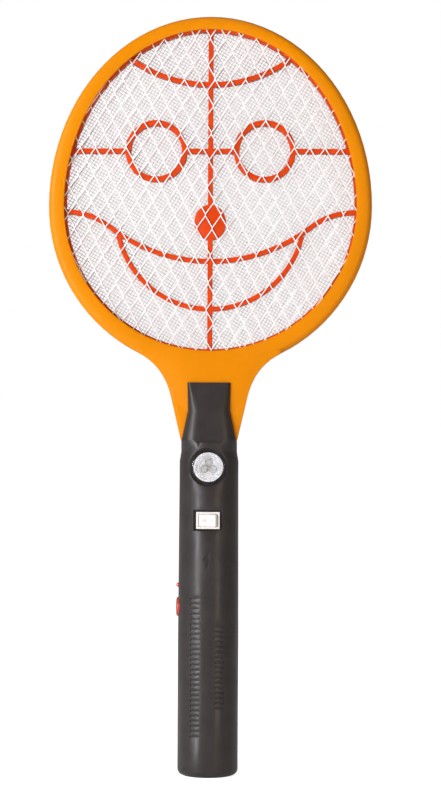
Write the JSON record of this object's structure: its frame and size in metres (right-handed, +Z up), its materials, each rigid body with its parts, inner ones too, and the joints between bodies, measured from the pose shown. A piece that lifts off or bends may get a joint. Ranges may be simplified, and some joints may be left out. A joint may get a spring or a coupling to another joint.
{
  "type": "electric fly swatter",
  "caption": "Racket-shaped electric fly swatter: oval head of layered grids and smiling-face spacers in a ring, on a round handle with torch, rocker switch, zap button and slide-out plug.",
  "frame": {"origin": "centre of the handle's flat end, on the handle's axis", "axes": "+Z up the handle to the head, -Y out of the front with the torch and rocker, +X to the right as seen from the front"},
  "size_m": [0.2174, 0.0411, 0.51],
  "materials": {
    "orange_plastic": "semi-gloss moulded ABS",
    "red_plastic": "semi-gloss moulded ABS",
    "black_plastic": "fine-textured moulded ABS",
    "white_grid": "white coated steel strands",
    "steel_mesh": "bright woven mesh",
    "steel_screw": "zinc-plated",
    "clear_lens": "clear moulded plastic, read as glass",
    "mirror_plastic": "metallised plastic",
    "led_clear": "clear epoxy",
    "green_board": "glass-fibre laminate with green mask",
    "tan_board": "paper laminate",
    "cream_plastic": "glossy moulded nylon",
    "brass": "stamped strip",
    "red_button": "glossy moulded ABS",
    "red_led": "tinted epoxy",
    "spring_steel": "plain wire",
    "switch_black": "moulded nylon",
    "ferrite": "sintered ferrite, read as matte",
    "copper_tape": "copper winding under tape",
    "brown_capacitor": "dipped film capacitor",
    "yellow_capacitor": "boxed film capacitor",
    "resistor_body": "painted ceramic",
    "diode_body": "moulded epoxy",
    "battery_case": "moulded battery case",
    "tinned_metal": "nickel-plated",
    "ivory_plastic": "moulded nylon",
    "red_wire": "PVC insulation, read as rubber",
    "black_wire": "PVC insulation, read as rubber",
    "white_wire": "PVC insulation, read as rubber"
  },
  "bodies": {
    "bat": {"front_ring": "orange_plastic", "rear_ring": "orange_plastic", "front_grid": "white_grid", "rear_grid": "white_grid", "middle_grid": "steel_mesh", "front_spacer": "red_plastic", "rear_spacer": "red_plastic", "ring_screws": "steel_screw", "handle_screws": "steel_screw", "board_screws": "steel_screw", "handle_front": "black_plastic", "handle_rear": "black_plastic", "torch_lens": "clear_lens", "torch_reflector": "mirror_plastic", "torch_leds": "led_clear", "torch_board": "green_board", "rocker_frame": "cream_plastic", "rocker_terminals": "brass", "button_spring": "spring_steel", "switch_body": "switch_black", "indicator_led": "red_led", "main_board": "tan_board", "transformer_core": "ferrite", "transformer_coil": "copper_tape", "zap_capacitor": "brown_capacitor", "mains_capacitor": "yellow_capacitor", "resistors": "resistor_body", "diodes": "diode_body", "transistor": "diode_body", "battery": "battery_case", "battery_tabs": "tinned_metal", "charge_contacts": "brass", "front_grid_lead": "red_wire", "middle_grid_lead": "white_wire", "rear_grid_lead": "black_wire", "battery_lead_red": "red_wire", "battery_lead_black": "black_wire", "torch_lead_red": "red_wire", "torch_lead_black": "black_wire", "rocker_leads": "red_wire", "charge_leads": "black_wire"},
    "torch_rocker": {"rocker_paddle": "cream_plastic"},
    "zap_key": {"zap_button": "red_button", "switch_plunger": "switch_black"},
    "charging_plug": {"plug_carrier": "ivory_plastic", "plug_pins": "tinned_metal", "plug_knob": "black_plastic"}
  },
  "joints": [
    {"name": "torch_rocker_tilt", "type": "hinge", "parent": "bat", "child": "torch_rocker", "pos_m": [0, -0.0172, 0.17195], "axis": [0, 0, 1], "range_deg": [0, 20]},
    {"name": "zap_press", "type": "slide", "parent": "bat", "child": "zap_key", "axis": [1, 0, 0], "range_m": [0, 0.0015], "stiffness_N_per_m": 900, "springref_m": -0.001, "deforming": ["button_spring"]},
    {"name": "plug_slide", "type": "slide", "parent": "bat", "child": "charging_plug", "axis": [0, 0, -1], "range_m": [0, 0.019]}
  ]
}
